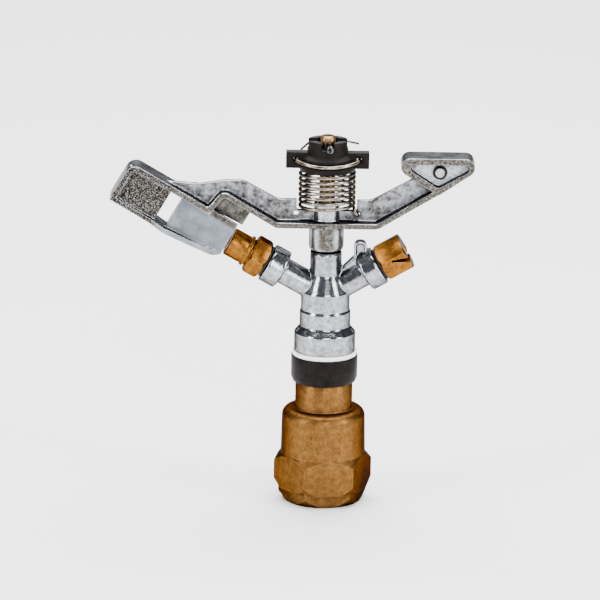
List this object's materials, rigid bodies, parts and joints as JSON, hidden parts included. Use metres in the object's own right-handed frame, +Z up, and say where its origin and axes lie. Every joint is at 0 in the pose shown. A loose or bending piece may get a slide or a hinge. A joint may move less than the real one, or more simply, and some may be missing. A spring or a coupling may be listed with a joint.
{
  "type": "impact sprinkler",
  "caption": "Impact sprinkler: brass hexagon inlet, turning zinc body with a range and a spreader nozzle, and a sprung swing arm with spoon and counterweight.",
  "frame": {"origin": "centre of the inlet's open bottom face, on the bearing's axis", "axes": "+Z up the bearing's axis; -X towards the range nozzle and the arm's head; -Y towards the front, where the vane stands"},
  "size_m": [0.1348, 0.0342, 0.1398],
  "materials": {
    "brass": "satin sand-cast and turned",
    "brass_inner": "turned",
    "nozzle_brass": "satin turned",
    "pin_brass": "satin turned bronze",
    "zinc": "bright plated die casting",
    "arm_zinc": "bright plated die casting, mottled",
    "spring_steel": "drawn stainless wire",
    "pin_steel": "dark steel wire",
    "washer_dark": "dark pressed washer",
    "black_plastic": "moulded, slight sheen",
    "white_plastic": "smooth PTFE",
    "seal_plastic": "smooth nylon",
    "rubber": "soft",
    "gasket": "pressed fibre"
  },
  "bodies": {
    "base": {"inlet_connector": "brass", "rubber_seal": "rubber", "ceiling_seal": "seal_plastic", "bearing_spring": "spring_steel"},
    "hood_carrier": {"dust_hood": "black_plastic", "white_washer": "white_plastic"},
    "rotor": {"bearing_tube": "brass_inner", "slip_seal": "seal_plastic", "body": "zinc", "range_gasket": "gasket", "spreader_gasket": "gasket", "range_nozzle": "nozzle_brass", "spreader_nozzle": "nozzle_brass", "fulcrum_pin": "pin_brass", "thrust_washer": "washer_dark", "arm_spring": "spring_steel", "spring_cap": "black_plastic", "cotter_pin": "pin_steel"},
    "arm": {"swing_arm": "arm_zinc", "lower_bush": "seal_plastic", "upper_bush": "seal_plastic"}
  },
  "joints": [
    {"name": "bearing_float", "type": "slide", "parent": "base", "child": "hood_carrier", "axis": [0, 0, 1], "range_m": [-0.0015, 0], "stiffness_N_per_m": 5000, "springref_m": 0.004, "deforming": ["bearing_spring"]},
    {"name": "body_spin", "type": "hinge", "parent": "hood_carrier", "child": "rotor", "pos_m": [0, 0, 0.0578], "axis": [0, 0, 1], "continuous": true},
    {"name": "arm_swing", "type": "hinge", "parent": "rotor", "child": "arm", "pos_m": [0, 0, 0.105], "axis": [0, 0, 1], "range_deg": [0, 110], "stiffness_Nm_per_rad": 0.03, "springref_deg": -34.38, "deforming": ["arm_spring"]}
  ]
}
